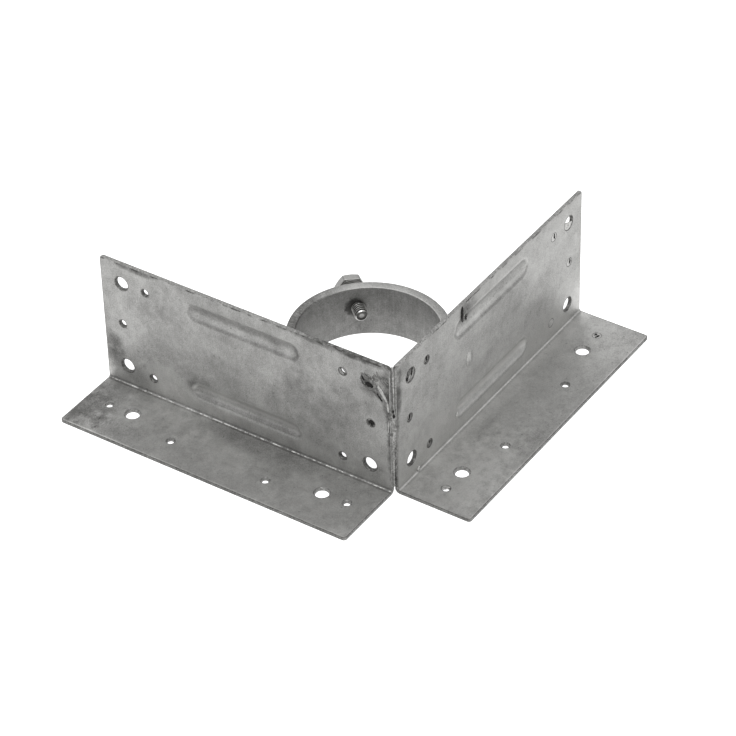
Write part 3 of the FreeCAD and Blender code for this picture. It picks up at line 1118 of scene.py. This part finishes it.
for side in range(thread_sides):
    after = (side + 1) % thread_sides
    faces.append((side, after, tip_start + after, tip_start + side))
faces += strips(len(end_rounds), thread_sides, tip_start)
faces.append(tuple(range(len(corners) - thread_sides, len(corners))))

head_start = len(corners)
head_top = shank_length + head_height
sides = []
for side in range(head_sides):
    angle = side * math.tau / head_sides
    to_flat = head_flats / 2 / math.cos((angle - head_turn) % (math.pi / 3) - math.pi / 6)
    edge = head_top - (to_flat - washer_radius) * head_slope
    profile = (
        (shank_length, bolt_radius * 0.9),
        (shank_length, washer_radius),
        (shank_length + washer_face, washer_radius),
        (shank_length + washer_face, to_flat - arris),
        (shank_length + washer_face + arris, to_flat),
        (edge - arris, to_flat),
        (edge + arris * head_slope, to_flat - arris),
        (head_top, washer_radius),
        (head_top - 0.05 * mm, washer_radius * 0.9),
    )
    sides.append([(along, radius * math.cos(angle), radius * math.sin(angle)) for along, radius in profile])
corners += [corner for level in zip(*sides) for corner in level]
faces += [tuple(head_start + k for k in face) for face in capped_tube(len(profile), head_sides)]

corners = [tuple(bolt_frame @ Vector(corner)) for corner in corners]
bolt = solid_object("set_bolt_threaded", corners, faces, bolt_crease)

material, shader, place, tone, height = start_finish("bolt_plating")
axis_point = place.vector("SUBTRACT", tuple(bolt_foot / mm))
below_crest = axis_point.vector("CROSS_PRODUCT", tuple(bolt_in)).length() - bolt_radius / mm
along_bolt = place.vector("DOT_PRODUCT", tuple(bolt_out), output=1)
on_head = (along_bolt - (bolt_tip + shank_length) / mm).smooth(-0.1, 0.1)
from_tip = along_bolt - bolt_tip / mm
on_point = from_tip.smooth(1.1, 0.9)
lit_point = on_point * (place.parts()[2] - bolt_lift / mm).smooth(-2.0, 0.5)
# The end face is darker.
end_face_darkening = from_tip.smooth(0.25, 0.05)
# Dirt and painted shade in the thread's roots.
root_dirt_and_shade = below_crest.smooth(-0.15, -0.50) * below_crest.smooth(-1.2, -0.85) * (1 - on_point)
scratches = place.scaled(0.4, 1.0, 3.0).cloud(0.5, 4.0)
tone = tone * 0.5 + bolt_tone - on_head * head_shade - root_dirt_and_shade * root_shade + scratches * 0.3
tone = (tone + lit_point * point_light - end_face_darkening * end_shade).smooth(*tone_range)
roughness = 0.34 + scratches * 0.2 + root_dirt_and_shade * 0.3 + on_head * 0.08
end_finish(shader, tone, roughness, height * 0.4 + scratches * 0.4, relief_depth * 0.5)
bolt.data.materials.append(material)
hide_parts("set_bolt")
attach(bolt, "bolt")


# Studio
# The adapter stands on a pale floor under a large soft light, and the camera looks down on its open corner.
# The camera's place, roll and lens were worked out from the photograph's edges and holes.
floor_reach = 3.0
camera_aim = Vector((-8.32, -4.75, 0.0)) * mm
camera_distance = 1.46398
sight_heading = math.atan2(0.44740, 0.64882)
sight_fall = math.asin(0.61552)
camera_roll = math.radians(-1.58)
camera_lens = 164.99
film_width = 36.0
floor_look = {
    "Base Color": (0.45, 0.45, 0.45, 1),
    "Roughness": 0.9,
    "Specular IOR Level": 0.1,
    "Emission Color": (1, 1, 1, 1),
    "Emission Strength": 0.95,
}
sky_look = {"Color": (1, 1, 1, 1), "Strength": 0.78}

floor_mesh = bpy.data.meshes.new("floor")
floor_turns = ((-1, -1), (1, -1), (1, 1), (-1, 1))
floor_corners = [(x * floor_reach, y * floor_reach, plate_low.z) for x, y in floor_turns]
floor_mesh.from_pydata(floor_corners, [], [(0, 1, 2, 3)])
floor = bpy.data.objects.new("floor", floor_mesh)
bpy.context.scene.collection.objects.link(floor)
floor_material = bpy.data.materials.new("pale_floor")
floor_material.use_nodes = True
for name, value in floor_look.items():
    floor_material.node_tree.nodes["Principled BSDF"].inputs[name].default_value = value
floor_mesh.materials.append(floor_material)

world = bpy.data.worlds.new("studio")
bpy.context.scene.world = world
world.use_nodes = True
for name, value in sky_look.items():
    world.node_tree.nodes["Background"].inputs[name].default_value = value
bpy.context.scene.view_settings.view_transform = "Standard"

for name, place, size, power in (
    ("key_light", Vector((-0.7, -0.5, 1.8)), 1.6, 30.0),
    ("back_light", Vector((0.9, 1.0, 1.5)), 1.0, 6.0),
):
    light = bpy.data.lights.new(name, "AREA")
    light.size = size
    light.energy = power
    lamp = bpy.data.objects.new(name, light)
    lamp.location = place
    lamp.rotation_euler = (-place).to_track_quat("-Z", "Y").to_euler()
    bpy.context.scene.collection.objects.link(lamp)

sight_level = math.cos(sight_fall)
sight = Vector((
    sight_level * math.cos(sight_heading), sight_level * math.sin(sight_heading), -math.sin(sight_fall),
))
camera_data = bpy.data.cameras.new("camera")
camera_data.lens = camera_lens
camera_data.sensor_width = film_width
camera_data.clip_end = 20.0
camera = bpy.data.objects.new("camera", camera_data)
camera.location = camera_aim - sight * camera_distance
camera.rotation_mode = "QUATERNION"
camera.rotation_quaternion = sight.to_track_quat("-Z", "Y") @ Quaternion((0, 0, 1), camera_roll)
bpy.context.scene.collection.objects.link(camera)
bpy.context.scene.camera = camera
